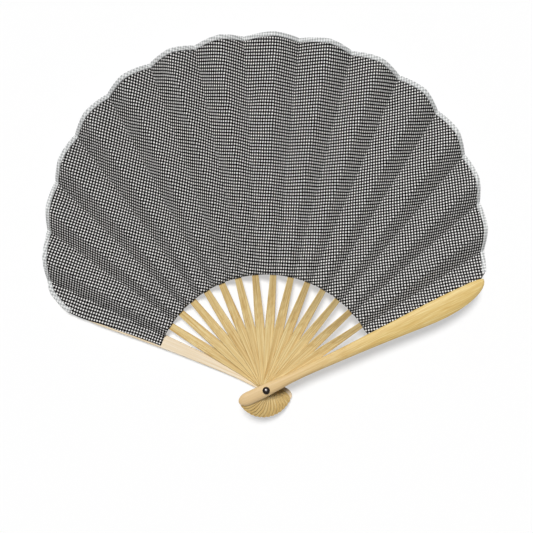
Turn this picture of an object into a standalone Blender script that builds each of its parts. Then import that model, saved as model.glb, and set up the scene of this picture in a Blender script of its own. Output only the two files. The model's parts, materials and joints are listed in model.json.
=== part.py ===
"""A folding fan of the shell kind, lying open with its front up. Lengths are in metres, angles in degrees.

Z is the rivet's axis, the origin is the middle of the rivet's flat tail, and +Y is the middle of the leaf's
shell outline. Every stick is drawn along its own +X from the rivet's axis and then turned to its angle.
Sticks are numbered from the back guard (0) through the ribs (1 to RIBS) to the front guard (RIBS + 1).

The leaf is one cloth and its binding one tape. Both are split here at the valleys of the pleats, so that
each stick carries its own pleat: the facet glued to it, a ridge, and the free facet down to the next stick.
"""

import math

import bmesh
import bpy
import numpy as np

# How far the fan opens, and where the sticks stand
OPENING = 130.7
MIDDLE = 90.0
FRONT_FROM_MIDDLE = 65.0
RIBS = 14
FRONT_GUARD_GAP = 9.4
BACK_GUARD_GAP = 9.7
SPREAD = 0.7
SPREAD_AT = 89.0
SPREAD_WIDTH = 12.0

# Layers on the rivet
GUARD_THICK = 0.0024
RIB_THICK = 0.0008
RIB_TONGUE_THICK = 0.00045
LAYER_GAP = 0.0002

# Rivet: a domed head, a shank, and a flat tail sunk in the back guard
SHANK_RADIUS = 0.0012
BORE_CLEARANCE = 0.0001
HEAD_RADIUS = 0.0021
HEAD_RIM = 0.00025
HEAD_DOME = 0.0011
HEAD_GAP = 0.0001
TAIL_RADIUS = 0.0022
TAIL_THICK = 0.0008
TAIL_CLEARANCE = 0.0002
TAIL_CHAMFER = 0.00015

# Round lower end that all sticks share
BUTT_LENGTH = 0.0168
BUTT_ROUND = 0.0060

# Guards: knots are (distance / length, half-width / greatest width)
GUARD_LENGTH = 0.136
GUARD_WIDTH = 0.01185
GUARD_EDGE = 0.0013
GUARD_CHAMFER = 0.0003
GUARD_LAND = 0.2
CROWN_POWER = 2.5
STRAIGHT_SIDE = (
    (-0.124, 0.33), (0, 0.295), (0.103, 0.245), (0.294, 0.27), (0.55, 0.36), (0.81, 0.464), (1, 0.46)
)
CURVED_SIDE = (
    (-0.124, 0.3), (0, 0.287), (0.103, 0.22), (0.294, 0.253), (0.5, 0.354), (0.75, 0.536), (1, 0.6)
)
STRAIGHT_ROUND_FROM = 0.934
CURVED_ROUND_FROM = 0.75
TIP_OFFSET = 0.34
END_ROUND = 0.005

# Ribs: half-widths at the butt, neck, swelling, leaf and tip
RIB_BUTT = 0.0037
RIB_NECK = 0.0023
RIB_SWELL = 0.0027
RIB_AT_LEAF = 0.0019
RIB_TIP = 0.0011
NECK_AT = 0.008
SWELL_AT = 0.034
RIB_CHAMFER = 0.00025
RIB_SHORT_OF_EDGE = 0.006
TWIST_FROM = 0.028
LIFT_FROM = 0.016
LIFT_TO = 0.054
THINNING_FROM = 0.045
THINNING_TO = 0.060

# Leaf: a shell outline, pleated in cones about the rivet so that the cloth folds without stretching
LEAF_INNER = 0.0645
LEAF_THICK = 0.0003
GLUE_GAP = 0.0001
SHELL_CENTRE = 0.0766
SHELL_SHORT_OF_TIP = 0.0017
SHOULDER = 0.0021
SHOULDER_TURNS = 5.6
BACK_FULLNESS = 0.0018
BACK_FULL_FROM = 143.0
SCALLOP = 0.0001
PLEAT_FLAT = 10.25
FRONT_RISE = 0.0388
LEFT_LEAN = 0.6
RIGHT_LEAN = 0.35
LEAN_TURNS_AT = 10.0
JOIN_GAP = 0.05
BACK_VALLEY = 2.5
FRONT_RIDGE = 2.9
FRONT_HIDDEN = 0.5
FRONT_CUT = 0.008
FRONT_CLEAR = 0.0005
BACK_INSET = 0.0012
BACK_INSET_TO = 0.098
BACK_OVERHANG = 0.0011
BACK_OVERHANG_AT = 0.122
TIP_OVERHANG = 0.0002
TIP_OVERHANG_FROM = 0.131
BACK_CORNER_AT = 0.1195

# Binding: a tape folded over the leaf's edge
TAPE_REACH = 0.0026
TAPE_THICK = 0.00025
TAPE_GAP = 0.0001
STRIP_GAP = 0.00005

# Fineness of the mesh
ROUND_SIDES = 32
FACET_CELLS = 2
LEAF_ROWS = 8
BACK_CELLS = 8

FRONT_ANGLE = MIDDLE - FRONT_FROM_MIDDLE
BACK_ANGLE = FRONT_ANGLE + OPENING
RIB_STEP = (OPENING - FRONT_GUARD_GAP - BACK_GUARD_GAP) / (RIBS - 1)
LAYER = RIB_THICK + LAYER_GAP
FRONT = RIBS + 1
FRONT_BASE = GUARD_THICK + RIBS * LAYER + LAYER_GAP
GUARD_OFF = math.radians(FRONT_FROM_MIDDLE)
EDGE_AT_GUARD = GUARD_LENGTH - SHELL_SHORT_OF_TIP + SHOULDER * math.cos(SHOULDER_TURNS * GUARD_OFF)
SHELL_RADIUS = math.hypot(
    EDGE_AT_GUARD * math.sin(GUARD_OFF), EDGE_AT_GUARD * math.cos(GUARD_OFF) - SHELL_CENTRE
)


def stick_angle(k):
    """The angle at which stick k stands; the ribs open a little wider in the middle of the fan."""
    if k == 0:
        return BACK_ANGLE
    if k == FRONT:
        return FRONT_ANGLE
    even = BACK_ANGLE - BACK_GUARD_GAP - (k - 1) * RIB_STEP
    return even + SPREAD * math.tanh((even - SPREAD_AT) / SPREAD_WIDTH)


def upper_face(k):
    """Height of the face that the leaf is glued to, at the rivet: on the back guard or on rib k."""
    return GUARD_THICK + k * LAYER


def eased(at, start, end):
    """0 up to start, 1 from end on, with a soft change between."""
    t = np.clip((np.asarray(at) - start) / (end - start), 0, 1)
    return t * t * (3 - 2 * t)


def through(knots, at):
    """A smooth curve through (distance, value) knots, read at the given distances."""
    x, y = np.array(knots, float).T
    slope = np.gradient(y, x)
    low = np.clip(np.searchsorted(x, at, side="right") - 1, 0, len(x) - 2)
    step = x[low + 1] - x[low]
    t = np.clip((at - x[low]) / step, 0, 1)
    ends = y[low] * (1 + 2 * t) * (1 - t) ** 2 + y[low + 1] * t * t * (3 - 2 * t)
    return ends + step * (slope[low] * t * (1 - t) ** 2 - slope[low + 1] * t * t * (1 - t))


def quarter_round(at, start, end):
    """1 up to start, then down a quarter ellipse to 0 at end."""
    t = np.clip((np.asarray(at) - start) / (end - start), 0, 1)
    return np.sqrt(1 - t * t)


def valley(k):
    """Angle of the valley on stick k, along the stick's clockwise edge."""
    if k == 0:
        return BACK_ANGLE - BACK_VALLEY
    return stick_angle(k) - math.degrees(math.asin(RIB_AT_LEAF / LEAF_INNER))


def ridge(k):
    """Angle of the ridge between the valleys of sticks k and k - 1, leaning away from the fan's middle."""
    if k == FRONT:
        return FRONT_ANGLE + FRONT_RIDGE
    between = (valley(k) + valley(k - 1)) / 2
    return between + (LEFT_LEAN if between > MIDDLE + LEAN_TURNS_AT else -RIGHT_LEAN)


def pleat_rise(k):
    """Height of ridge k above its stick's valley, per metre of radius.

    The glued and the free facet together take the angle PLEAT_FLAT on the flat cloth. The less of it the open
    fan uses, the higher the ridge stands.
    """
    if k == FRONT:
        return FRONT_RISE
    glued, free, flat = np.radians([ridge(k) - valley(k), valley(k - 1) - ridge(k), PLEAT_FLAT])
    spare = flat**2 - glued**2 - free**2
    return math.sqrt(spare**2 - 4 * glued**2 * free**2) / (2 * flat)


def leaf_edge(angle, wave):
    """Radius of the leaf's outer edge: a circle with soft shoulders and scallops (wave -1 valley, 1 ridge)."""
    off = math.radians(angle - MIDDLE)
    chord = math.sqrt(SHELL_RADIUS**2 - (SHELL_CENTRE * math.sin(off)) ** 2)
    shell = SHELL_CENTRE * math.cos(off) + chord + BACK_FULLNESS * eased(angle, BACK_FULL_FROM, BACK_ANGLE)
    return shell - SHOULDER * math.cos(SHOULDER_TURNS * off) + wave * SCALLOP


def new_solid(name, rings, material):
    """One object from rings of equally many points, with both ends filled and its faces pointing out."""
    mesh = bmesh.new()
    rows = [[mesh.verts.new(point) for point in ring] for ring in rings]
    for here, there in zip(rows, rows[1:]):
        for i in range(len(here)):
            j = (i + 1) % len(here)
            mesh.faces.new((here[i], here[j], there[j], there[i]))
    mesh.faces.new(rows[0][::-1])
    mesh.faces.new(rows[-1])
    if mesh.calc_volume(signed=True) < 0:
        bmesh.ops.reverse_faces(mesh, faces=mesh.faces)
    data = bpy.data.meshes.new(name)
    mesh.to_mesh(data)
    mesh.free()
    if material:
        data.materials.append(material)
    obj = bpy.data.objects.new(name, data)
    bpy.context.collection.objects.link(obj)
    return obj


def new_material(name, colour, roughness, metallic=0.0):
    material = bpy.data.materials.new(name)
    material.use_nodes = True
    shader = material.node_tree.nodes["Principled BSDF"]
    shader.inputs["Base Color"].default_value = (*colour, 1)
    shader.inputs["Roughness"].default_value = roughness
    shader.inputs["Metallic"].default_value = metallic
    material.diffuse_color = (*colour, 1)
    return material


def circle(radius, height):
    turn = np.linspace(0, 2 * math.pi, ROUND_SIDES, endpoint=False)
    return np.column_stack([radius * np.cos(turn), radius * np.sin(turn), np.full(ROUND_SIDES, height)])


def bore_cutter():
    """Hidden solid that bores every stick for the shank and sinks the tail's seat into the back guard."""
    wide, narrow = TAIL_RADIUS + TAIL_CLEARANCE, SHANK_RADIUS + BORE_CLEARANCE
    seat, top = TAIL_THICK + HEAD_GAP, FRONT_BASE + 2 * GUARD_THICK
    rings = [circle(wide, -GUARD_THICK), circle(wide, seat), circle(narrow, seat), circle(narrow, top)]
    cutter = new_solid("bore_cutter", rings, None)
    cutter.hide_render = True
    cutter.display_type = "WIRE"
    return cutter


def bore(obj, cutter):
    cut = obj.modifiers.new("bore", "BOOLEAN")
    cut.operation = "DIFFERENCE"
    cut.solver = "EXACT"
    cut.object = cutter


def rivet(material):
    seat = FRONT_BASE + GUARD_THICK + HEAD_GAP
    rings = [
        circle(TAIL_RADIUS - TAIL_CHAMFER, 0),
        circle(TAIL_RADIUS, TAIL_CHAMFER),
        circle(TAIL_RADIUS, TAIL_THICK),
        circle(SHANK_RADIUS, TAIL_THICK),
        circle(SHANK_RADIUS, seat),
        circle(HEAD_RADIUS, seat),
    ]
    for turn in np.radians([0, 20, 40, 60, 80]):
        rings.append(circle(HEAD_RADIUS * math.cos(turn), seat + HEAD_RIM + HEAD_DOME * math.sin(turn)))
    return new_solid("rivet", rings, material)


def butt_stations():
    """Distances along a stick's round lower end, closer together where it curves most."""
    turn = np.radians([12, 30, 50, 70, 90])
    return -BUTT_LENGTH + BUTT_ROUND * (1 - np.cos(turn))


def butt_round(u):
    """Share of the full width that is left near the round lower end."""
    return quarter_round(-u, BUTT_LENGTH - BUTT_ROUND, BUTT_LENGTH)


def guard_sides(u):
    """Where a guard's straight side (+) and curved side (-) lie at distances u from the rivet."""
    tip = TIP_OFFSET * GUARD_WIDTH
    straight = GUARD_WIDTH * through(STRAIGHT_SIDE, u / GUARD_LENGTH)
    curved = GUARD_WIDTH * through(CURVED_SIDE, u / GUARD_LENGTH)
    straight_end = quarter_round(u, STRAIGHT_ROUND_FROM * GUARD_LENGTH, GUARD_LENGTH)
    curved_end = quarter_round(u, CURVED_ROUND_FROM * GUARD_LENGTH, GUARD_LENGTH)
    straight = tip + (straight - tip) * straight_end
    curved = tip - (curved + tip) * curved_end
    return straight * butt_round(u), curved * butt_round(u)


def guard_lift(u):
    """How far the front guard's inner face bows up to lie on the leaf's last ridge."""
    return (FRONT_RISE * u + FRONT_CLEAR) * eased(u, LIFT_FROM, LIFT_TO)


def guard(name, material, bowed):
    """A guard with its flat inner face at z = 0 and its crowned face up."""
    body = np.linspace(-BUTT_LENGTH + BUTT_ROUND, CURVED_ROUND_FROM * GUARD_LENGTH, 14)[1:]
    turn = np.radians([12, 24, 36, 48, 58, 67, 75, 82, 87])
    tip = GUARD_LENGTH * (CURVED_ROUND_FROM + (1 - CURVED_ROUND_FROM) * np.sin(turn))
    across = np.array([1, 0.85, 0.6, 0.4, GUARD_LAND, -GUARD_LAND, -0.4, -0.6, -0.85, -1])
    crown = 1 - (np.clip(abs(across) - GUARD_LAND, 0, 1) / (1 - GUARD_LAND)) ** CROWN_POWER
    rings = []
    for u in np.concatenate([butt_stations(), body, tip]):
        straight, curved = guard_sides(u)
        end = quarter_round(u, GUARD_LENGTH - END_ROUND, GUARD_LENGTH)
        end = end * quarter_round(-u, BUTT_LENGTH - END_ROUND, BUTT_LENGTH)
        chamfer = min(GUARD_CHAMFER, (straight - curved) / 4)
        edge = GUARD_EDGE * (1 + end) / 2
        top = edge + (GUARD_THICK - GUARD_EDGE) * crown * end
        middle, half = (straight + curved) / 2, (straight - curved) / 2
        points = [(u, curved + chamfer, 0), (u, straight - chamfer, 0), (u, straight, chamfer)]
        points += [(u, middle + s * half, z) for s, z in zip(across, top)]
        points.append((u, curved, chamfer))
        rings.append(np.array(points) + [0, 0, guard_lift(u) if bowed else 0])
    return new_solid(name, rings, material)


def rib(k, material):
    """A rib: round butt, thick neck and swelling, then a thin tongue that lies along its tilted facet."""
    length = leaf_edge(stick_angle(k), 0) - RIB_SHORT_OF_EDGE
    width_knots = (
        (-BUTT_LENGTH + BUTT_ROUND, RIB_BUTT),
        (NECK_AT, RIB_NECK),
        (SWELL_AT, RIB_SWELL),
        (LEAF_INNER, RIB_AT_LEAF),
        (length, RIB_TIP),
    )
    bare = np.linspace(-BUTT_LENGTH + BUTT_ROUND, LEAF_INNER, 15)[1:]
    tongue = np.linspace(LEAF_INNER, length, LEAF_ROWS + 1)[1:]
    facet_tilt = pleat_rise(k) / math.radians(ridge(k) - valley(k))
    offset = math.tan(math.radians(stick_angle(k) - valley(k)))
    rings = []
    for u in np.concatenate([butt_stations(), bare, tongue]):
        half = through(width_knots, u) * butt_round(u)
        thick = RIB_THICK + (RIB_TONGUE_THICK - RIB_THICK) * eased(u, THINNING_FROM, THINNING_TO)
        chamfer = min(RIB_CHAMFER, half / 4)
        tilt = facet_tilt * eased(u, TWIST_FROM, LEAF_INNER)
        reach = u * offset if u > LEAF_INNER else half
        flat = half - chamfer
        section = [(-half, -thick / 2), (-flat, -thick), (flat, -thick)]
        section += [(half, -thick / 2), (flat, 0), (-flat, 0)]
        rings.append([(u, v, upper_face(k) + z + (v + reach) * tilt) for v, z in section])
    return new_solid(f"rib_{k:02d}", rings, material)


def columns(k):
    """Stick k's pleat from side to side, as (angle, height at the rivet, rise per radius, wave)."""
    low, rise = upper_face(k) + GLUE_GAP, pleat_rise(k)
    if k == FRONT:
        low = FRONT_BASE + FRONT_CLEAR - GLUE_GAP - LEAF_THICK
    next_low = upper_face(k - 1) + GLUE_GAP
    start, top, end = valley(k) + JOIN_GAP if k < FRONT else None, ridge(k), valley(k - 1) - JOIN_GAP
    found = []
    if k < FRONT:
        for f in np.linspace(0, 1, FACET_CELLS + 1)[:-1]:
            found.append((start + f * (top - start), low, f * rise, 2 * f - 1))
    for g in np.linspace(0, 1, FACET_CELLS + 1):
        found.append((top + g * (end - top), low + g * (next_low - low), (1 - g) * rise, 1 - 2 * g))
    return found


def placed(k, r, angle, z):
    """A point of stick k's own frame from its radius and its angle in the open fan."""
    turn = math.radians(angle - stick_angle(k))
    return (r * math.cos(turn), r * math.sin(turn), z)


def sheet_ring(k, column, edge):
    """The section of the leaf along one radius, as a closed ring of points."""
    angle, low, rise, _ = column
    radii = np.linspace(LEAF_INNER, edge, LEAF_ROWS + 1)
    under = [placed(k, r, angle, low + rise * r) for r in radii]
    return under + [(x, y, z + LEAF_THICK) for x, y, z in under[::-1]]


def tape_ring(k, column):
    """The section of the binding along one radius: a U open towards the rivet."""
    angle, low, rise, wave = column
    edge = leaf_edge(angle, wave)
    inner, wall = edge - TAPE_REACH, edge + TAPE_GAP
    outer, out = wall + TAPE_THICK, TAPE_GAP + TAPE_THICK
    section = [
        (inner, LEAF_THICK + TAPE_GAP),
        (wall, LEAF_THICK + TAPE_GAP),
        (wall, -TAPE_GAP),
        (inner, -TAPE_GAP),
        (inner, -out),
        (outer, -out),
        (outer, LEAF_THICK + out),
        (inner, LEAF_THICK + out),
    ]
    return [placed(k, r, angle, low + rise * r + z) for r, z in section]


def pleat(k, cloth, tape):
    """The leaf piece and the binding piece of rib k."""
    name = f"rib_{k:02d}"
    found = columns(k)
    leaf = new_solid(f"leaf_{name}", [sheet_ring(k, c, leaf_edge(c[0], c[3])) for c in found], cloth)
    binding = new_solid(f"binding_{name}", [tape_ring(k, c) for c in found], tape)
    return leaf, binding


def front_pleat(cloth, tape):
    """The leaf's end under the front guard, its last ridge and free facet, and the binding of that facet."""
    found = columns(FRONT)
    crest = found[0]
    hidden = []
    for f in (0.0, 0.5):
        angle = FRONT_ANGLE - FRONT_HIDDEN + f * (FRONT_RIDGE + FRONT_HIDDEN)
        edge = leaf_edge(angle, crest[3]) - (1 - f) * FRONT_CUT
        hidden.append(sheet_ring(FRONT, (angle, *crest[1:]), edge))
    rings = hidden + [sheet_ring(FRONT, c, leaf_edge(c[0], c[3])) for c in found]
    leaf = new_solid("leaf_front_guard", rings, cloth)
    binding = new_solid("binding_front_guard", [tape_ring(FRONT, c) for c in found], tape)
    return leaf, binding


def back_outset(u):
    """How far the leaf reaches over the back guard's curved side: short of it, over it, and level at the tip."""
    over = (BACK_INSET + BACK_OVERHANG) * eased(u, BACK_INSET_TO, BACK_OVERHANG_AT)
    return over - BACK_INSET - (BACK_OVERHANG - TIP_OVERHANG) * eased(u, BACK_OVERHANG_AT, TIP_OVERHANG_FROM)


def back_rim(across):
    """The rim of the leaf's end on the back guard, from the valley (0) round the corner to the side (1).

    It leaves the shell outline at the valley, and runs just outside the guard's round tip and curved side.
    Each point comes with the direction in which the tape is laid over it.
    """
    tip_u = GUARD_LENGTH - (GUARD_LENGTH - BACK_CORNER_AT) * np.linspace(1, 0, 40) ** 2
    tip_v = back_outset(tip_u) - guard_sides(tip_u)[1]
    start = math.radians(valley(0) + JOIN_GAP - BACK_ANGLE)
    first = leaf_edge(valley(0), -1) * math.sin(start)
    v = first + across * (tip_v[0] - first)
    along_guard = np.interp(v, tip_v[::-1], tip_u[::-1]) + TIP_OVERHANG * (1 - eased(v, 0, tip_v[0]))
    shell = [leaf_edge(BACK_ANGLE + math.degrees(math.asin(x / GUARD_LENGTH)), -1) for x in v]
    along_shell = np.sqrt(np.array(shell) ** 2 - v**2)
    u = along_shell + (along_guard - along_shell) * eased(v, first, 0)
    square = np.column_stack([np.gradient(v), -np.gradient(u)])
    square /= np.linalg.norm(square, axis=1, keepdims=True)
    radial = np.array([math.cos(start), math.sin(start)])
    out = radial + (square - radial) * eased(across, 0, 0.5)[:, None]
    return np.column_stack([u, v]), out / np.linalg.norm(out, axis=1, keepdims=True)


def back_end(cloth, tape):
    """The leaf's flat end on the back guard, inside its curved side, and the tape strip on the rim."""
    across = np.linspace(0, 1, BACK_CELLS + 1)
    rim, out = back_rim(across)
    valley_turn = math.tan(math.radians(valley(0) + JOIN_GAP - BACK_ANGLE))
    low = upper_face(0) + GLUE_GAP
    rings = []
    for s, end in zip(across, rim[:, 0]):
        u = np.linspace(LEAF_INNER, end, LEAF_ROWS + 1)
        side = np.where(u < rim[-1, 0], back_outset(u) - guard_sides(u)[1], rim[-1, 1])
        v = u * valley_turn + s * (side - u * valley_turn)
        under = [(x, y, low) for x, y in zip(u, v)]
        rings.append(under + [(x, y, z + LEAF_THICK) for x, y, z in under[::-1]])
    leaf = new_solid("leaf_back_guard", rings, cloth)
    inner, outer = rim - TAPE_REACH * out, rim + (TAPE_GAP + TAPE_THICK) * out
    under, over = low + LEAF_THICK + STRIP_GAP, low + LEAF_THICK + STRIP_GAP + TAPE_THICK
    rings = []
    for a, b in zip(inner, outer):
        rings.append([(*a, under), (*b, under), (*b, over), (*a, over)])
    binding = new_solid("binding_back_guard", rings, tape)
    return leaf, binding


def build():
    for obj in list(bpy.data.objects):
        bpy.data.objects.remove(obj)
    pale = new_material("bamboo_guard", (0.76, 0.60, 0.34), 0.45)
    bamboo = new_material("bamboo_rib", (0.70, 0.52, 0.27), 0.5)
    cloth = new_material("check_cloth", (0.16, 0.16, 0.16), 0.9)
    tape = new_material("edge_tape", (0.58, 0.62, 0.62), 0.85)
    dark = new_material("dark_metal", (0.02, 0.02, 0.025), 0.25, 1.0)
    cutter = bore_cutter()
    sticks = {0: guard("back_guard", pale, False)}
    for k in range(1, FRONT):
        sticks[k] = rib(k, bamboo)
    sticks[FRONT] = guard("front_guard", pale, True)
    sticks[FRONT].location.z = FRONT_BASE
    sticks[0].location.z = GUARD_THICK
    sticks[0].rotation_euler.x = math.pi
    carried = {0: back_end(cloth, tape), FRONT: front_pleat(cloth, tape)}
    for k in range(1, FRONT):
        carried[k] = pleat(k, cloth, tape)
    for k, stick in sticks.items():
        bore(stick, cutter)
        for obj in (stick, *carried[k]):
            obj.rotation_euler.z = math.radians(stick_angle(k))
    rivet(dark)


build()
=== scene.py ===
"""Looks of a folding fan of the shell kind: bamboo sticks, a pleated check cloth leaf and a pale edge tape.

The sticks and the rivet are the frame's own solids with new materials. The leaf and its tape are one pleated
cloth each, laid on the sticks by the same formulas as the frame's leaf solids. Lengths are in metres. Angles
are in degrees, counted from +X about the rivet, but a setting keeps its angle in radians, as Blender does.
"""

import json
import math

import bpy
import numpy as np
from bpy.props import FloatProperty, FloatVectorProperty, PointerProperty
from mathutils import Euler, Matrix

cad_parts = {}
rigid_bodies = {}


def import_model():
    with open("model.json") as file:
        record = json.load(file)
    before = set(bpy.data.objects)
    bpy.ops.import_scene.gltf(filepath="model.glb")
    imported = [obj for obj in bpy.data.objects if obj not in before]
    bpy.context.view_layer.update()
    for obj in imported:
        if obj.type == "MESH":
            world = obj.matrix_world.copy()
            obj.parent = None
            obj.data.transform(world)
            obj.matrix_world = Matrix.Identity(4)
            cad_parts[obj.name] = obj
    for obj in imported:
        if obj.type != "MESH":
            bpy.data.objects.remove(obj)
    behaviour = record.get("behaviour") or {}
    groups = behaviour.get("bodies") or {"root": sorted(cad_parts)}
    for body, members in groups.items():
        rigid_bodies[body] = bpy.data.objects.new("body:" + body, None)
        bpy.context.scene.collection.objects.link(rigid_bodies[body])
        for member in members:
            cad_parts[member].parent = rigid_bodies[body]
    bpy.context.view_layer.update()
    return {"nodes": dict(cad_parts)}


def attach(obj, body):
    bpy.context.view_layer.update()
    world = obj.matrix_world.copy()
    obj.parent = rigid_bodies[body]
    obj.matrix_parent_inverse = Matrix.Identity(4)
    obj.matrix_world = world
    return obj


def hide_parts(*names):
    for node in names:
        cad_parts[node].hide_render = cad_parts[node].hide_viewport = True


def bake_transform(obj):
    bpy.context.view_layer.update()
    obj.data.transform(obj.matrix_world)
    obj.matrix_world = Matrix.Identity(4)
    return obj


bl_info = {
    "name": "Folding fan",
    "version": (1, 0, 0),
    "blender": (4, 5, 0),
    "location": "3D View > Sidebar > Fan",
    "description": "Dresses a packed folding fan in bamboo, check cloth and edge tape",
    "category": "Object",
}

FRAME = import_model()

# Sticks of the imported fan: their angles and layers
OPENING = 130.7
FRONT_ANGLE = 25.0
BACK_ANGLE = FRONT_ANGLE + OPENING
MIDDLE = 90.0
RIBS = 14
FRONT = RIBS + 1
FRONT_GUARD_GAP = 9.4
BACK_GUARD_GAP = 9.7
SPREAD = 0.7
SPREAD_AT = 89.0
SPREAD_WIDTH = 12.0
RIB_STEP = (OPENING - FRONT_GUARD_GAP - BACK_GUARD_GAP) / (RIBS - 1)
GUARD_THICK = 0.0024
LAYER = 0.001
FRONT_BASE = 0.0166
RIB_AT_LEAF = 0.0019
STICKS = ["back_guard"] + [f"rib_{k:02d}" for k in range(1, FRONT)] + ["front_guard"]

# Curved side of a guard: shares of its length from the rivet and of its full width
GUARD_LENGTH = 0.136
GUARD_WIDTH = 0.01185
CURVED_SIDE = (
    (-0.124, 0.3), (0, 0.287), (0.103, 0.22), (0.294, 0.253), (0.5, 0.354), (0.75, 0.536), (1, 0.6)
)
CURVED_ROUND_FROM = 0.75
TIP_OFFSET = 0.34

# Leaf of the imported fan: its outline, its pleats and how it lies on both guards
LEAF_INNER = 0.0645
LEAF_THICK = 0.0003
GLUE_GAP = 0.0001
SHELL_CENTRE = 0.0766
SHELL_SHORT_OF_TIP = 0.0017
SHOULDER = 0.0021
SHOULDER_TURNS = 5.6
BACK_FULLNESS = 0.0018
BACK_FULL_FROM = 143.0
SCALLOP = 0.0001
PLEAT_FLAT = 10.25
FRONT_RISE = 0.0388
LEFT_LEAN = 0.6
RIGHT_LEAN = 0.35
LEAN_TURNS_AT = 10.0
LEFT_CREEP = 1.4
CREEP_FROM = 96.0
CREEP_TO = 108.0
CREEP_ENDS = 146.0
CREEP_SINK = 0.002
BACK_VALLEY = 2.5
FRONT_RIDGE = 2.9
FRONT_HIDDEN = 0.5
FRONT_CUT = 0.008
FRONT_CLEAR = 0.0005
BACK_INSET = 0.0012
BACK_INSET_TO = 0.098
BACK_OVERHANG = 0.0011
BACK_OVERHANG_AT = 0.122
TIP_OVERHANG = 0.0002
TIP_OVERHANG_FROM = 0.131
BACK_CORNER_AT = 0.1195

GUARD_OFF = math.radians(MIDDLE - FRONT_ANGLE)
EDGE_AT_GUARD = GUARD_LENGTH - SHELL_SHORT_OF_TIP + SHOULDER * math.cos(SHOULDER_TURNS * GUARD_OFF)
SHELL_RADIUS = math.hypot(
    EDGE_AT_GUARD * math.sin(GUARD_OFF), EDGE_AT_GUARD * math.cos(GUARD_OFF) - SHELL_CENTRE
)

# Cells of the cloth's grid: out from the rivet, over a facet, under the front guard and over the back guard
LEAF_ROWS = 60
FACET_CELLS = 10
HIDDEN_CELLS = 4
BACK_CELLS = 32
RIM_SAMPLES = 200

# Share of the way to the outer edge from which the folds are softer
SOFT_FROM = 0.78

# Tape: its room above the cloth, the share of its end that turns square to the rim, and its cells
TAPE_ROOM = 0.00012
TAPE_END_ROOM = 0.00005
TAPE_SQUARE_BY = 0.5
TAPE_FLAT_CELLS = 4
TAPE_TURN_CELLS = 6
TAPE_END_CELLS = 5

# Butts of the sticks: from and to which place along the stick their tone changes, and by which share
BUTT_WORN = (-0.006, -0.017, 0.55)
SKIN_WORN = (0.07, -0.006, 0.72)

# Real sizes of the patterns: clouds in the paper, how often and how far a yarn wanders, a slub in a yarn,
# clouds and cords in the tape, and wear in the metal, which is drawn coarser than real wear so that it shows
PAPER_CLOUD = 0.33
YARN_WANDER_LENGTH = 0.0222
YARN_WANDER = 0.0016
SLUB_LENGTH = 0.00143
TAPE_CLOUD = 0.00111
TAPE_CORD = 0.0006
METAL_WEAR = 0.0004

# Steps in the bamboo's noise from one stick to the next, and the middle of the painted highlight on the
# rivet:
# a pale spot a little off the dome's crown, towards the key light
NOISE_STEP = (5.069, 2.603, 3.151)
HIGHLIGHT_AT = (-0.0001, 0.0004, 0)

# A Mix node's colour sockets: the two inputs and the output
MIX_A, MIX_B, MIXED = 6, 7, 2

# Room between the floor and the fan's lowest points, and the camera's place and turns about X, Y and Z
FLOOR_ROOM = 0.0003
CAMERA_PLACE = (-0.0154, 0.0702, 0.45)
CAMERA_TILT = (-0.15, -2.14, -0.45)


def linear(digits):
    """The linear RGBA that shaders take, from a colour's six sRGB hex digits."""
    srgb = np.array([int(digits[i : i + 2], 16) for i in (0, 2, 4)]) / 255
    low, high = srgb / 12.92, ((srgb + 0.055) / 1.055) ** 2.4
    return (*np.where(srgb <= 0.04045, low, high), 1.0)


def distance(name, description, default):
    """A length setting."""
    return FloatProperty(
        name=name, description=description, default=default, subtype="DISTANCE", unit="LENGTH"
    )


def angle(name, description, default):
    """An angle setting, with its default in degrees."""
    return FloatProperty(
        name=name, description=description, default=math.radians(default), subtype="ANGLE", unit="ROTATION"
    )


def colour(name, description, default):
    """A colour setting, with its default in sRGB hex digits."""
    return FloatVectorProperty(
        name=name, description=description, default=linear(default), size=4, subtype="COLOR", min=0, max=1
    )


def factor(name, description, default, top=1.0):
    """A plain number setting from 0 to a top value."""
    return FloatProperty(name=name, description=description, default=default, min=0, max=top)


class FanSticks(bpy.types.PropertyGroup):
    """Colours of the bamboo sticks and the width of their fibres."""

    rib_tone: colour("Rib bamboo", "Main colour of the ribs", "d9be83")
    rib_light: colour("Rib light fibres", "Pale fibres of the ribs", "e7d6a3")
    rib_dark: colour("Rib dark fibres", "Dark fibres of the ribs", "ae8443")
    rib_butt: colour("Rib butts", "Darker colour of the ribs' lower ends", "a9873f")
    skin_tone: colour("Front guard", "Main colour of the front guard's outer skin", "dec07b")
    skin_light: colour("Front guard light fibres", "Pale fibres of the outer skin", "e9d599")
    skin_dark: colour("Front guard dark fibres", "Dark fibres of the outer skin", "c7a259")
    skin_butt: colour("Front guard butt", "Warmer colour of the front guard's handled lower end", "d8ba92")
    pale_tone: colour("Back guard", "Main colour of the back guard's inner face", "ebdabd")
    pale_light: colour("Back guard light fibres", "Pale fibres of the inner face", "f3e8d6")
    pale_dark: colour("Back guard dark fibres", "Dark fibres and the butt of the inner face", "d4b98f")
    fibre: distance("Fibre width", "Width of one bamboo fibre bundle", 0.0006)
    roughness: factor("Bamboo roughness", "Roughness of the scraped bamboo", 0.5)
    skin_roughness: factor("Skin roughness", "Roughness of the front guard's smoother outer skin", 0.46)


class FanRivet(bpy.types.PropertyGroup):
    """Colours and polish of the rivet, and its painted highlight."""

    metal: colour("Rivet", "Colour of the blackened steel", "2a2522")
    # The pale spot at the rivet's crown is a painted highlight, in place of the key light's reflection in the
    # dome
    highlight_metal: colour("Highlighted rivet", "Colour of the metal at the rubbed crown", "6c6866")
    highlight_width: distance("Highlighted width", "Half-width of the rubbed crown", 0.0009)
    roughness: factor("Rivet roughness", "Roughness of the rivet's polished dome", 0.28)


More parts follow.
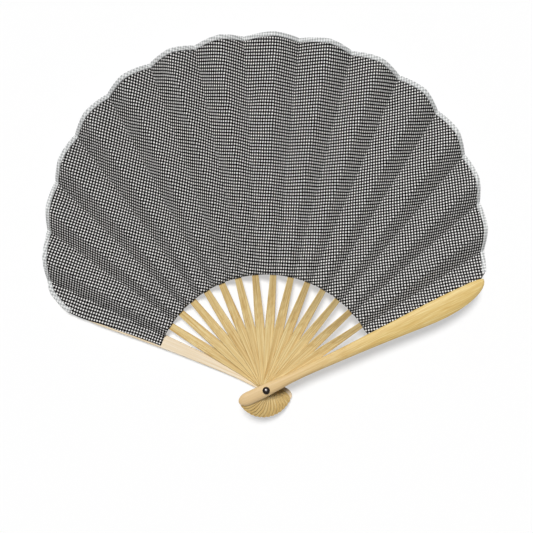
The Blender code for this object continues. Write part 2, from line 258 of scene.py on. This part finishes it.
class FanLeaf(bpy.types.PropertyGroup):
    """Sizes and colours of the cloth."""

    thickness: distance("Cloth thickness", "Thickness of the stiffened cloth", LEAF_THICK)
    crown: factor("Fold softness", "How much a pleat's facet bows up towards its ridge", 0.12)
    edge_crown: factor("Edge softness", "How much more the facets bow up at the outer edge", 0.4)
    warp: distance("Check across", "Width of one dark and one light stripe across the cloth", 0.00157)
    weft: distance("Check up", "Width of one dark and one light stripe up the cloth", 0.00175)
    yarn: distance("Yarn spacing", "Spacing of the yarns in the weave", 0.000435)
    straight_at: angle("Straight line", "Angle of the line on which the check stands upright", 64)
    dark_yarn: colour("Dark yarn", "Colour of the dark yarn", "030303")
    light_yarn: colour("Light yarn", "Colour of the light yarn", "faf8f6")
    half_light: factor("Half-light", "How light the weave looks where a light and a dark yarn cross", 0.065)


class FanTape(bpy.types.PropertyGroup):
    """Sizes and colours of the edge binding."""

    width: distance("Tape width", "How far the binding reaches in from the edge", 0.0022)
    thickness: distance("Tape thickness", "Thickness of the binding tape", 0.0002)
    tone: colour("Tape", "Colour of the binding tape", "f0f1f0")
    shade: colour("Tape over dark yarn", "Colour of the tape where the dark yarn shows through", "a5a7a7")


class FanStage(bpy.types.PropertyGroup):
    """Floor, light and camera."""

    floor_tone: colour("Floor", "Colour of the pale floor", "f2f2f3")
    floor_seen: colour("Floor as seen", "Colour of the floor where the camera sees it", "ffffff")
    floor_glow: factor("Floor's own light", "Share of the floor's seen tone that no shadow darkens", 0.5)
    floor_half: distance("Floor half side", "Half the floor's side", 1.5)
    floor_rise: factor("Floor rise", "Climb of the floor under the leaf, per metre", 0.06)
    floor_rise_turn: angle("Floor rise direction", "Direction in which the floor climbs", 54.1)
    key_power: factor("Key light", "Strength of the key light as a sun", 3.15, 20)
    key_height: angle("Key height", "Height of the key light above the floor", 67)
    key_turn: angle("Key direction", "Direction from which the key light comes", 109)
    key_size: angle("Key softness", "Angle that the key light takes in the sky", 16)
    sky: factor("Sky", "Strength of the even light from all around", 0.08, 10)
    lens: distance("Lens", "Focal length on a 36 mm sensor", 0.05234)


# Shapes


def stick_angle(k):
    """The angle at which stick k stands, 0 for the back guard and FRONT for the front guard.

    The ribs stand at even steps, which an S-curve spreads a little near the top of the fan.
    """
    if k in (0, FRONT):
        return FRONT_ANGLE if k else BACK_ANGLE
    even = BACK_ANGLE - BACK_GUARD_GAP - (k - 1) * RIB_STEP
    return even + SPREAD * math.tanh((even - SPREAD_AT) / SPREAD_WIDTH)


def eased(at, start, end):
    """0 up to start and 1 from end on, with three times t squared less twice t cubed between, t the way."""
    t = np.clip((at - start) / (end - start), 0, 1)
    return t * t * (3 - 2 * t)


def through(knots, at):
    """A smooth curve through (distance, value) knots, read at the given distances.

    Between two knots it is the cubic with their values and with the slopes that their neighbours give.
    """
    x, y = np.array(knots, float).T
    slope = np.gradient(y, x)
    low = np.clip(np.searchsorted(x, at, side="right") - 1, 0, len(x) - 2)
    step = x[low + 1] - x[low]
    t = np.clip((at - x[low]) / step, 0, 1)
    ends = y[low] * (1 + 2 * t) * (1 - t) ** 2 + y[low + 1] * t * t * (3 - 2 * t)
    return ends + step * (slope[low] * t * (1 - t) ** 2 - slope[low + 1] * t * t * (1 - t))


def turned(x, y, turn):
    """x and y after a turn about the rivet, in radians."""
    cos, sin = math.cos(turn), math.sin(turn)
    return x * cos - y * sin, x * sin + y * cos


def valley(k):
    """Angle of the valley on stick k: at the rib's clockwise side, where the leaf begins.

    On the back guard it is a fixed step from the guard's own angle.
    """
    return stick_angle(k) - (math.degrees(math.asin(RIB_AT_LEAF / LEAF_INNER)) if k else BACK_VALLEY)


def ridge(k):
    """Angle of the ridge between the valleys of sticks k and k - 1: midway, leaning to the nearer guard."""
    if k == FRONT:
        return FRONT_ANGLE + FRONT_RIDGE
    between = (valley(k) + valley(k - 1)) / 2
    return between + (LEFT_LEAN if between > MIDDLE + LEAN_TURNS_AT else -RIGHT_LEAN)


def pleat_rise(k):
    """Height of ridge k above its stick's valley, per metre of radius.

    The glued and the free facet together take the angle PLEAT_FLAT on the flat cloth. The less of it the open
    fan uses, the higher the ridge stands: at this height the slants of both facets add up to that angle.
    """
    if k == FRONT:
        return FRONT_RISE
    glued, free, flat = np.radians([ridge(k) - valley(k), valley(k - 1) - ridge(k), PLEAT_FLAT])
    spare = flat**2 - glued**2 - free**2
    return math.sqrt(spare**2 - 4 * glued**2 * free**2) / (2 * flat)


def low_face(k):
    """Height of the leaf's underside at the valley of stick k: its layer, or the front guard's inner face."""
    if k == FRONT:
        return FRONT_BASE + FRONT_CLEAR - GLUE_GAP - LEAF_THICK
    return GUARD_THICK + k * LAYER + GLUE_GAP


def leaf_edge(at, fold):
    """Radius of the leaf's outer edge at an angle: a circle with soft shoulders and scallops.

    The circle's centre is on the middle line. A cosine of the angle lets the edge out at two shoulders,
    half-way to both guards, and some fullness is added at the back guard. A ridge (fold 1) stands out past a
    valley (fold -1).
    """
    off = np.radians(at - MIDDLE)
    chord = np.sqrt(SHELL_RADIUS**2 - (SHELL_CENTRE * np.sin(off)) ** 2)
    shell = SHELL_CENTRE * np.cos(off) + chord + BACK_FULLNESS * eased(at, BACK_FULL_FROM, BACK_ANGLE)
    return shell - SHOULDER * np.cos(SHOULDER_TURNS * off) + fold * SCALLOP


def creep(at):
    """Degrees, below 0, by which the folds of the fan's left half stand clockwise of their sticks' places."""
    return -LEFT_CREEP * eased(at, CREEP_FROM, CREEP_TO) * (1 - eased(at, CREEP_ENDS, valley(0)))


def carried_share(at):
    """Share of the front guard's swing that a stick at this angle makes, from 0 at the back guard to 1."""
    return (BACK_ANGLE - at) / OPENING


def pleat_columns():
    """All radial lines of the pleats from the front guard's ridge to the back guard's valley, as columns.

    The rows are: angle, height at the rivet, rise of the ridge, way from ridge (0) to valley (1), share of
    the swing, and sink per metre. A glued facet swings with its own stick, and a free one passes from that
    stick to the next. The lines draw together at both folds, by a cosine. Where the folds creep, the cloth
    sinks a little.
    """
    way = (1 - np.cos(np.linspace(0, math.pi, FACET_CELLS + 1))) / 2
    level = np.ones(len(way))
    facets = []
    for k in range(FRONT, 0, -1):
        own, following = carried_share(stick_angle(k)), carried_share(stick_angle(k - 1))
        top, rise = ridge(k), pleat_rise(k) * level
        if k < FRONT:
            glued = [top + way * (valley(k) - top), low_face(k) * level, rise, way, own * level]
            facets.append(np.array(glued)[:, -2:0:-1])
        height = low_face(k) + way * (low_face(k - 1) - low_face(k))
        free = [top + way * (valley(k - 1) - top), height, rise, way, own + way * (following - own)]
        facets.append(np.array(free))
    joined = np.concatenate(facets, axis=1)
    moved = creep(joined[0])
    joined[0] += moved
    return np.array([*joined, CREEP_SINK * moved])


def hidden_columns(first):
    """The strip under the front guard, from its hidden side to the first ridge, and its outer radius.

    Its lines repeat the first ridge's numbers at their own angles. The edge is cut back more, the further in.
    """
    way = np.linspace(0, 1, HIDDEN_CELLS + 1)[:-1]
    strip = np.repeat(first, HIDDEN_CELLS, axis=1)
    strip[0] = FRONT_ANGLE - FRONT_HIDDEN + way * (FRONT_RIDGE + FRONT_HIDDEN)
    return strip, leaf_edge(strip[0], 1) - (1 - way) * FRONT_CUT


def leaf_height(columns, r, edge, leaf):
    """Height of the leaf's underside at radius r of each radial line.

    On a facet, with d the way from its ridge (0) to its valley (1), the height per radius is the ridge's rise
    times 1 - d ** (1 + c). The crown c is small in the cloth and grows near the edge, where folds are soft.
    """
    at, low, rise, d, _, sink = [row[:, None] for row in columns]
    near = eased((r - LEAF_INNER) / (edge - LEAF_INNER), SOFT_FROM, 1)
    near = near * eased(at, ridge(FRONT), ridge(FRONT - 1))
    bent = 1 - d ** (1 + leaf.crown + leaf.edge_crown * near)
    return low + (rise * bent + sink) * r


def polar(r, at, z):
    """Points from radius, angle in degrees and height, stacked on the last axis."""
    x, y = r * np.cos(np.radians(at)), r * np.sin(np.radians(at))
    return np.stack(np.broadcast_arrays(x, y, z), axis=-1)


def on_back_guard(u, v, z):
    """Points in the fan's frame from the length u and the width v on the back guard and the height z."""
    x, y = turned(u, v, math.radians(BACK_ANGLE))
    return np.stack(np.broadcast_arrays(x, y, z), axis=-1)


def curved_side(u):
    """Half-width of a guard on its curved side, at distance u from the rivet.

    It is the smooth curve through CURVED_SIDE, closed to a round tip by a quarter of an ellipse.
    """
    tip, start = TIP_OFFSET * GUARD_WIDTH, CURVED_ROUND_FROM * GUARD_LENGTH
    t = np.clip((u - start) / (GUARD_LENGTH - start), 0, 1)
    half = GUARD_WIDTH * through(CURVED_SIDE, u / GUARD_LENGTH)
    return (half + tip) * np.sqrt(1 - t * t) - tip


def back_outset(u):
    """How far the leaf reaches past the back guard's curved side: short of it, past it, level at the tip."""
    over = (BACK_INSET + BACK_OVERHANG) * eased(u, BACK_INSET_TO, BACK_OVERHANG_AT)
    return over - BACK_INSET - (BACK_OVERHANG - TIP_OVERHANG) * eased(u, BACK_OVERHANG_AT, TIP_OVERHANG_FROM)


def back_rim(across):
    """The leaf's rim on the back guard, from the valley (0) round the corner to the side (1), as (u, v).

    It leaves the shell outline at the valley and follows the guard's round tip. Each point comes with the
    direction in which the tape is laid over it, which turns from the valley's line to the rim's own normal.
    """
    tip_u = GUARD_LENGTH - (GUARD_LENGTH - BACK_CORNER_AT) * np.linspace(1, 0, RIM_SAMPLES) ** 2
    tip_v = back_outset(tip_u) + curved_side(tip_u)
    start = math.radians(-BACK_VALLEY)
    first = leaf_edge(valley(0), -1) * math.sin(start)
    v = first + across * (tip_v[0] - first)
    along_shell = leaf_edge(BACK_ANGLE + np.degrees(np.arcsin(v / GUARD_LENGTH)), -1)
    along_shell = np.sqrt(along_shell**2 - v**2)
    along_guard = np.interp(v, tip_v[::-1], tip_u[::-1]) + TIP_OVERHANG * (1 - eased(v, 0, tip_v[0]))
    u = along_shell + (along_guard - along_shell) * eased(v, first, 0)
    square = np.column_stack([np.gradient(v), -np.gradient(u)])
    square /= np.linalg.norm(square, axis=1, keepdims=True)
    radial = np.array([math.cos(start), math.sin(start)])
    out = radial + (square - radial) * eased(across, 0, TAPE_SQUARE_BY)[:, None]
    return np.column_stack([u, v]), out / np.linalg.norm(out, axis=1, keepdims=True)


def leaf_grid(leaf):
    """The middle of the leaf's thickness as a grid of points, and each line's share of the swing.

    The pleats' lines run out from the rivet, each in even steps from the inner to the outer edge. Past the
    last valley the lines lie flat on the back guard and run along it, evenly from the valley to its side.
    """
    way, across = np.linspace(0, 1, LEAF_ROWS + 1), np.linspace(0, 1, BACK_CELLS + 1)
    columns = pleat_columns()
    edge = leaf_edge(columns[0], 1 - 2 * columns[3])
    hidden, hidden_edge = hidden_columns(columns[:, :1])
    columns = np.concatenate([hidden, columns], axis=1)
    edge = np.concatenate([hidden_edge, edge])[:, None]
    r = LEAF_INNER + way * (edge - LEAF_INNER)
    pleats = polar(r, columns[0][:, None], leaf_height(columns, r, edge, leaf) + leaf.thickness / 2)
    rim, _ = back_rim(across)
    u = LEAF_INNER + way * (rim[:, :1] - LEAF_INNER)
    side = np.where(u < rim[-1, 0], back_outset(u) + curved_side(u), rim[-1, 1])
    valley_side = -math.tan(math.radians(BACK_VALLEY)) * u
    v = valley_side + across[:, None] * (side - valley_side)
    back = on_back_guard(u, v, GUARD_THICK + GLUE_GAP + leaf.thickness / 2)[1:]
    return np.concatenate([pleats, back]), np.concatenate([columns[4], np.zeros(len(back))])


def tape_fold(leaf, tape):
    """How far the middle of the tape's thickness stands off the middle of the cloth's."""
    return leaf.thickness / 2 + TAPE_ROOM + tape.thickness / 2


def tape_grid(leaf, tape):
    """The tape round the pleats' outer edge as a grid of points, and each line's share of the swing.

    Its profile comes out above the cloth, turns round the edge in half a circle and goes back in below it.
    """
    columns, fold = pleat_columns(), tape_fold(leaf, tape)
    edge = leaf_edge(columns[0], 1 - 2 * columns[3])[:, None]
    turn = np.linspace(math.pi / 2, -math.pi / 2, TAPE_TURN_CELLS + 1)
    inner = tape.width * np.linspace(-1, 0, TAPE_FLAT_CELLS + 1)[:-1]
    above = np.full(TAPE_FLAT_CELLS, fold)
    r = edge + np.concatenate([inner, fold * np.cos(turn), inner[::-1]])
    lift = np.concatenate([above, fold * np.sin(turn), -above])
    z = leaf_height(columns, r, edge, leaf) + leaf.thickness / 2 + lift
    return polar(r, columns[0][:, None], z), columns[4]


def tape_end_grid(leaf, tape):
    """The tape's flat end on the back guard: from its inner side to its fold, square to the leaf's rim."""
    rim, out = back_rim(np.linspace(0, 1, BACK_CELLS + 1))
    reach = np.linspace(-tape.width, tape_fold(leaf, tape), TAPE_END_CELLS + 1)
    laid = rim[:, None] + reach[:, None] * out[:, None]
    height = GUARD_THICK + GLUE_GAP + leaf.thickness + TAPE_END_ROOM + tape.thickness / 2
    return on_back_guard(laid[..., 0], laid[..., 1], height)


def flattened(points, straight_at):
    """Each point's place on the cloth before it was pleated.

    The pleats are cones about the rivet, so the flat cloth is a sector: each radial line keeps its length,
    and the flat angle between two lines is their slant distance over the radius, added up from line to line
    and measured half-way out. The yarns run up the picture on the line that stands at the angle straight_at.
    """
    middle = points[:, points.shape[1] // 2]
    reach = np.hypot(middle[:, 0], middle[:, 1])
    plan = np.unwrap(np.arctan2(middle[:, 1], middle[:, 0]))
    gap, out = np.linalg.norm(np.diff(middle, axis=0), axis=1), np.diff(reach)
    steps = np.sqrt(np.maximum(gap**2 - out**2, 0)) / ((reach[1:] + reach[:-1]) / 2)
    flat = np.concatenate([[0], np.cumsum(steps)])
    flat = (flat - np.interp(straight_at, plan, flat) + straight_at)[:, None]
    radius = np.hypot(points[..., 0], points[..., 1])
    return np.stack([radius * np.cos(flat), radius * np.sin(flat)], axis=-1)


def grid_mesh(name, points, uv):
    """An object from a grid of points of shape (columns, rows, 3), with uv as each point's flat place.

    Each face joins a point to its neighbours in the next column and the next row.
    """
    columns, rows = points.shape[:2]
    index = np.arange(columns * rows).reshape(columns, rows)
    corners = [index[:-1, :-1], index[1:, :-1], index[1:, 1:], index[:-1, 1:]]
    faces = np.stack(corners, axis=-1).reshape(-1, 4)
    mesh = bpy.data.meshes.new(name)
    mesh.from_pydata(points.reshape(-1, 3), [], faces)
    mesh.polygons.foreach_set("use_smooth", np.ones(len(faces), bool))
    layer = mesh.uv_layers.new(name="Flat")
    layer.uv.foreach_set("vector", uv.reshape(-1, 2)[faces.reshape(-1)].astype(np.float32).ravel())
    mesh.update()
    obj = bpy.data.objects.new(name, mesh)
    bpy.context.collection.objects.link(obj)
    return obj


def thicken(obj, thickness):
    """Gives a surface its thickness, half of it to each side."""
    solid = obj.modifiers.new("thickness", "SOLIDIFY")
    solid.thickness, solid.offset = thickness, 0.0


def swing(obj):
    """Bakes the object's placement into its mesh.

    The edge points on the back and the front guard are worked out but not used: the grid does not turn with
    the front guard's swing.
    """
    start, end = polar(EDGE_AT_GUARD, BACK_ANGLE, 0.0), polar(EDGE_AT_GUARD, FRONT_ANGLE, 0.0)
    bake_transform(obj)


# Materials


def node(tree, kind, inputs=(), out=0, **settings):
    """Adds one node with its settings and gives one of its outputs.

    The inputs stand in the node's order or come by name or number, each a value or the socket that feeds it.
    """
    made = tree.nodes.new("ShaderNode" + kind)
    for name, value in settings.items():
        setattr(made, name, value)
    for key, value in inputs.items() if isinstance(inputs, dict) else enumerate(inputs):
        if isinstance(value, bpy.types.NodeSocket):
            tree.links.new(value, made.inputs[key])
        else:
            made.inputs[key].default_value = value
    return made.outputs[out]


def new_material(name, values):
    """A material whose Principled shader has these values, as (material, its tree, the shader)."""
    material = bpy.data.materials.new(name)
    material.use_nodes = True
    shader = material.node_tree.nodes["Principled BSDF"]
    for key, value in values.items():
        shader.inputs[key].default_value = value
    return material, material.node_tree, shader


def feed(tree, shader, sockets):
    """Links sockets to the shader's inputs of these names."""
    for key, socket in sockets.items():
        tree.links.new(socket, shader.inputs[key])


def bamboo(name, number, tones, fibre, roughness, handled):
    """Split bamboo, grain along the stick: broad tan bands, pale and dark fibres, and a handled butt.

    It gives the eye straight lengthwise streaks, a soft satin gloss and a slightly different stick each time.
    """
    tone, light, dark, butt = tones
    material, tree, shader = new_material(name, {"Roughness": roughness, "Specular IOR Level": 0.25})
    place = node(tree, "TexCoord", out="Object")
    back = -math.radians(stick_angle(number))
    own = node(tree, "VectorRotate", {"Vector": place, "Angle": back}, rotation_type="Z_AXIS")
    along = node(tree, "SeparateXYZ", [own])

    def streaks(width, length, detail, shift):
        """Noise stretched along the stick: width and length of one streak in metres."""
        scale = (1 / length, 1 / width, 1 / width)
        start = number * np.array(NOISE_STEP) + (shift, 0, 0)
        moved = node(tree, "Mapping", {"Vector": own, "Location": start, "Scale": scale})
        return node(tree, "TexNoise", {"Vector": moved, "Scale": 1.0, "Detail": detail, "Roughness": 0.6})

    broad = streaks(width=4 * fibre, length=0.09, detail=2, shift=0)
    fine = streaks(width=fibre, length=0.045, detail=3, shift=5)
    thin = streaks(width=0.45 * fibre, length=0.02, detail=2, shift=9)
    base = tone
    # Each layer: what it follows, where it starts and is full, its strongest share, and its colour
    for follows, start, full, share, laid in (
        (broad, 0.35, 0.65, 0.35, dark),
        (fine, 0.48, 0.68, 0.8, light),
        (fine, 0.46, 0.28, 0.8, dark),
        (thin, 0.6, 0.75, 0.75, dark),
        (along, *handled, butt),
    ):
        amount = node(tree, "MapRange", [follows, start, full, 0, share])
        base = node(tree, "Mix", {"Factor": amount, MIX_A: base, MIX_B: laid}, MIXED, data_type="RGBA")
    gloss = node(tree, "MapRange", [fine, 0.3, 0.7, roughness - 0.07, roughness + 0.12])
    bump = node(tree, "Bump", {"Height": fine, "Strength": 0.35, "Distance": 0.00012})
    feed(tree, shader, {"Base Color": base, "Roughness": gloss, "Normal": bump})
    return material


def blackened_steel(rivet):
    """Blackened, polished steel with a painted highlight near the crown of the dome.

    The highlight is a pale spot of bare-metal colour, set a little towards the key light. It gives the eye a
    glossy near-black dot with a small pale point.
    """
    values = {"Metallic": 1.0, "Roughness": rivet.roughness}
    material, tree, shader = new_material("blackened_steel", values)
    place = node(tree, "TexCoord", out="Object")
    wear = node(tree, "TexNoise", {"Vector": place, "Scale": 1 / METAL_WEAR, "Detail": 3})
    rough = node(tree, "MapRange", [wear, 0, 1, rivet.roughness - 0.06, rivet.roughness + 0.1])
    # Painted highlight: the pale metal colour on a small round spot near the crown, set towards the key light
    level = node(tree, "VectorMath", [place, (1, 1, 0)], operation="MULTIPLY")
    off = node(tree, "VectorMath", [level, HIGHLIGHT_AT], "Value", operation="DISTANCE")
    width = rivet.highlight_width
    highlighted = node(tree, "MapRange", [off, 0.4 * width, width, 1, 0], interpolation_type="SMOOTHSTEP")
    tones = {MIX_A: tuple(rivet.metal), MIX_B: tuple(rivet.highlight_metal)}
    base = node(tree, "Mix", {"Factor": highlighted, **tones}, MIXED, data_type="RGBA")
    feed(tree, shader, {"Base Color": base, "Roughness": rough})
    return material


def wave(tree, at, period):
    """A sine from -1 to 1 along a coordinate, once in each period."""
    phase = node(tree, "Math", [at, 2 * math.pi / period], operation="MULTIPLY")
    return node(tree, "Math", [phase], operation="SINE")


def stripe(tree, at, period):
    """1 on the light yarns of each period and 0 on the dark ones: a sine cut softly just above its middle."""
    return node(tree, "MapRange", [wave(tree, at, period), -0.1, 0.2], interpolation_type="SMOOTHSTEP")


def checked_cotton(leaf):
    """Fine woven check of dark and light cotton yarns, two of each in warp and weft, stiffened with paste.

    It gives the eye a pale dot where light crosses light, a black one where dark crosses dark, and a dim
    mixture between them. The yarns wander and thicken a little, with a fine bump. Paste makes them dull.
    """
    material, tree, shader = new_material("checked_cotton", {"Roughness": 1.0, "Specular IOR Level": 0.02})
    flat = node(tree, "UVMap", uv_map="Flat")
    wander = node(tree, "TexNoise", {"Vector": flat, "Scale": 1 / YARN_WANDER_LENGTH, "Detail": 2}, "Color")
    off = node(tree, "VectorMath", [wander, (0.5, 0.5, 0.5)], operation="SUBTRACT")
    scaled = node(tree, "VectorMath", {0: off, "Scale": YARN_WANDER}, operation="SCALE")
    moved = node(tree, "VectorMath", [flat, scaled], operation="ADD")
    x, y = node(tree, "SeparateXYZ", [moved]).node.outputs[:2]
    warp, weft = stripe(tree, x, leaf.warp), stripe(tree, y, leaf.weft)
    both = node(tree, "Math", [warp, weft], operation="MULTIPLY")
    either = node(tree, "Math", [warp, weft], operation="ADD")
    dim = node(tree, "Math", [either, leaf.half_light], operation="MULTIPLY")
    light = node(tree, "Math", [both, 1 - 2 * leaf.half_light, dim], operation="MULTIPLY_ADD")
    slub = node(tree, "TexNoise", {"Vector": flat, "Scale": 1 / SLUB_LENGTH, "Detail": 2})
    uneven = node(tree, "MapRange", [slub, 0.3, 0.7, 0.8, 1.04])
    light = node(tree, "Math", [light, uneven], operation="MULTIPLY")
    tones = {MIX_A: tuple(leaf.dark_yarn), MIX_B: tuple(leaf.light_yarn)}
    base = node(tree, "Mix", {"Factor": light, **tones}, MIXED, data_type="RGBA")
    threads = [wave(tree, x, leaf.yarn), wave(tree, y, leaf.yarn)]
    height = node(tree, "Math", threads, operation="MULTIPLY")
    bump = node(tree, "Bump", {"Height": height, "Strength": 0.4, "Distance": 0.00008})
    feed(tree, shader, {"Base Color": base, "Normal": bump})
    return material


def gauze_tape(leaf, tape):
    """Thin open-weave cotton tape, pale and matt.
    """
    material, tree, shader = new_material("gauze_tape", {"Roughness": 0.85, "Specular IOR Level": 0.2})
    flat = node(tree, "UVMap", uv_map="Flat")
    x, y = node(tree, "SeparateXYZ", [flat]).node.outputs[:2]
    either = node(tree, "Math", [stripe(tree, x, leaf.warp), stripe(tree, y, leaf.weft)], operation="ADD")
    cloud = node(tree, "TexNoise", {"Vector": flat, "Scale": 1 / TAPE_CLOUD, "Detail": 3})
    shift = node(tree, "MapRange", [cloud, 0.3, 0.7, -0.25, 0.25])
    amount = node(tree, "Math", [either, 0.5, shift], operation="MULTIPLY_ADD")
    tones = {MIX_A: tuple(tape.shade), MIX_B: tuple(tape.tone)}
    base = node(tree, "Mix", {"Factor": amount, **tones}, MIXED, data_type="RGBA")
    bump = node(tree, "Bump", {"Height": wave(tree, x, TAPE_CORD), "Strength": 0.3, "Distance": 0.00006})
    feed(tree, shader, {"Base Color": base, "Normal": bump})
    return material


def seen_rays(tree):
    """1 on rays that show the backdrop: straight to the camera, in a reflection or through glass."""
    path = node(tree, "LightPath").node.outputs
    mirrored = node(tree, "Math", [path["Is Glossy Ray"], path["Is Transmission Ray"]], operation="ADD")
    seen = node(tree, "Math", [path["Is Camera Ray"], mirrored], operation="ADD")
    return node(tree, "Math", [seen, 1.0], operation="MINIMUM")


def white_paper(stage):
    """Matt white paper, faintly clouded, and plain white where it is seen.

    It gives the eye an even backdrop. A share of it glows, so that the fan's shadow on it stays soft.
    """
    material, tree, shader = new_material("white_paper", {"Roughness": 0.9, "Specular IOR Level": 0.1})
    place = node(tree, "TexCoord", out="Object")
    cloud = node(tree, "TexNoise", {"Vector": place, "Scale": 1 / PAPER_CLOUD})
    tone, white = tuple(stage.floor_tone), tuple(stage.floor_seen)
    shade = (*[0.985 * c for c in tone[:3]], 1.0)
    paper = node(tree, "Mix", {"Factor": cloud, MIX_A: tone, MIX_B: shade}, MIXED, data_type="RGBA")
    seen = seen_rays(tree)
    base = node(tree, "Mix", {"Factor": seen, MIX_A: paper, MIX_B: white}, MIXED, data_type="RGBA")
    feed(tree, shader, {"Base Color": base})
    share = node(tree, "Math", [seen, stage.floor_glow], operation="MULTIPLY")
    glow = node(tree, "Emission", {"Color": white})
    both = node(tree, "MixShader", [share, shader.outputs[0], glow])
    tree.links.new(both, tree.nodes["Material Output"].inputs["Surface"])
    return material


def studio_world(stage):
    """Even light from all around at the sky's strength, and plain white where the backdrop is seen."""
    world = bpy.data.worlds.new("studio")
    world.use_nodes = True
    tree = world.node_tree
    backing = tree.nodes["Background"]
    backing.inputs["Color"].default_value = (1, 1, 1, 1)
    strength = node(tree, "Math", [seen_rays(tree), 1 - stage.sky, stage.sky], operation="MULTIPLY_ADD")
    feed(tree, backing, {"Strength": strength})
    return world


def put_on(obj, material):
    """Makes this the object's only material."""
    obj.data.materials.clear()
    obj.data.materials.append(material)


# Operators


class FAN_OT_sticks(bpy.types.Operator):
    """Give the sixteen bamboo sticks their materials"""

    bl_idname = "fan.sticks"
    bl_label = "Sticks"

    def execute(self, context):
        s = context.scene.fan_sticks
        rib = (s.rib_tone, s.rib_light, s.rib_dark, s.rib_butt), s.roughness, BUTT_WORN
        front = (s.skin_tone, s.skin_light, s.skin_dark, s.skin_butt), s.skin_roughness, SKIN_WORN
        back = (s.pale_tone, s.pale_light, s.pale_dark, s.pale_dark), s.roughness, BUTT_WORN
        for k, name in enumerate(STICKS):
            tones, roughness, handled = {0: back, FRONT: front}.get(k, rib)
            tones = [tuple(tone) for tone in tones]
            material = bamboo(f"bamboo_{name}", k, tones, s.fibre, roughness, handled)
            put_on(FRAME["nodes"][name], material)
        return {"FINISHED"}


class FAN_OT_rivet(bpy.types.Operator):
    """Give the rivet its blackened steel"""

    bl_idname = "fan.rivet"
    bl_label = "Rivet"

    def execute(self, context):
        put_on(FRAME["nodes"]["rivet"], blackened_steel(context.scene.fan_rivet))
        return {"FINISHED"}


class FAN_OT_leaf(bpy.types.Operator):
    """Make the pleated leaf as one cloth over the back guard and the ribs"""

    bl_idname = "fan.leaf"
    bl_label = "Pleated leaf"

    def execute(self, context):
        s = context.scene.fan_leaf
        points, shares = leaf_grid(s)
        flat = flattened(points, s.straight_at)
        leaf = grid_mesh("leaf", points, flat)
        thicken(leaf, s.thickness)
        put_on(leaf, checked_cotton(s))
        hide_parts(*["leaf_" + name for name in STICKS])
        swing(leaf)
        return {"FINISHED"}


class FAN_OT_binding(bpy.types.Operator):
    """Fold the pale tape over the leaf's outer edge"""

    bl_idname = "fan.binding"
    bl_label = "Edge binding"

    def execute(self, context):
        s, cloth = context.scene.fan_tape, context.scene.fan_leaf
        material = gauze_tape(cloth, s)
        points, shares = tape_grid(cloth, s)
        flat = flattened(points, cloth.straight_at)
        tape = grid_mesh("binding", points, flat)
        thicken(tape, s.thickness)
        put_on(tape, material)
        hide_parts(*["binding_" + name for name in STICKS[1:]])
        swing(tape)
        last, last_flat = points[-1, 0], flat[-1, 0]
        unrolled = math.atan2(last_flat[1], last_flat[0]) - math.atan2(last[1], last[0])
        end_points = tape_end_grid(cloth, s)
        end_flat = np.stack(turned(end_points[..., 0], end_points[..., 1], unrolled), axis=-1)
        end = grid_mesh("binding_end", end_points, end_flat)
        thicken(end, s.thickness)
        put_on(end, material)
        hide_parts("binding_back_guard")
        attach(end, "back_guard")
        return {"FINISHED"}


class FAN_OT_stage(bpy.types.Operator):
    """Set the pale floor, the studio light and the camera of the photograph"""

    bl_idname = "fan.stage"
    bl_label = "Stage"

    def execute(self, context):
        s = context.scene.fan_stage
        climb = s.floor_rise * np.array([math.cos(s.floor_rise_turn), math.sin(s.floor_rise_turn)])
        corners = s.floor_half * np.array([[-1, -1], [1, -1], [1, 1], [-1, 1]])
        mesh = bpy.data.meshes.new("floor")
        mesh.from_pydata(np.column_stack([corners, corners @ climb - FLOOR_ROOM]), [], [(0, 1, 2, 3)])
        floor = bpy.data.objects.new("floor", mesh)
        context.collection.objects.link(floor)
        put_on(floor, white_paper(s))
        sun = bpy.data.lights.new("key", "SUN")
        sun.energy, sun.angle = s.key_power, s.key_size
        key = bpy.data.objects.new("key", sun)
        key.rotation_euler = (0, math.pi / 2 - s.key_height, s.key_turn)
        context.collection.objects.link(key)
        context.scene.world = studio_world(s)
        lens = bpy.data.cameras.new("camera")
        lens.lens, lens.sensor_width = s.lens * 1000, 36
        camera = bpy.data.objects.new("camera", lens)
        tilt = Euler(np.radians(CAMERA_TILT), "ZYX").to_matrix().to_4x4()
        camera.matrix_world = Matrix.Translation(CAMERA_PLACE) @ tilt
        context.collection.objects.link(camera)
        context.scene.camera = camera
        context.scene.view_settings.view_transform = "Standard"
        return {"FINISHED"}


class FAN_PT_panel(bpy.types.Panel):
    """Steps of the fan, each with its sizes and colours"""

    bl_idname = "FAN_PT_panel"
    bl_label = "Folding fan"
    bl_space_type = "VIEW_3D"
    bl_region_type = "UI"
    bl_category = "Fan"

    def draw(self, context):
        for step, name, group in STEPS:
            column = self.layout.column()
            column.operator(step.bl_idname)
            for setting in group.__annotations__:
                column.prop(getattr(context.scene, name), setting)


STEPS = (
    (FAN_OT_stage, "fan_stage", FanStage),
    (FAN_OT_sticks, "fan_sticks", FanSticks),
    (FAN_OT_rivet, "fan_rivet", FanRivet),
    (FAN_OT_leaf, "fan_leaf", FanLeaf),
    (FAN_OT_binding, "fan_tape", FanTape),
)


def register():
    for step, name, group in STEPS:
        bpy.utils.register_class(group)
        setattr(bpy.types.Scene, name, PointerProperty(type=group))
        bpy.utils.register_class(step)
    bpy.utils.register_class(FAN_PT_panel)


def unregister():
    bpy.utils.unregister_class(FAN_PT_panel)
    for step, name, group in reversed(STEPS):
        bpy.utils.unregister_class(step)
        delattr(bpy.types.Scene, name)
        bpy.utils.unregister_class(group)


def main():
    """Registers the steps, clears the start-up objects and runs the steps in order."""
    register()
    for obj in [o for o in bpy.data.objects if o.name in ("Cube", "Light", "Camera")]:
        bpy.data.objects.remove(obj)
    bpy.ops.fan.stage()
    bpy.ops.fan.sticks()
    bpy.ops.fan.rivet()
    bpy.ops.fan.leaf()
    bpy.ops.fan.binding()


if __name__ == "__main__":
    main()
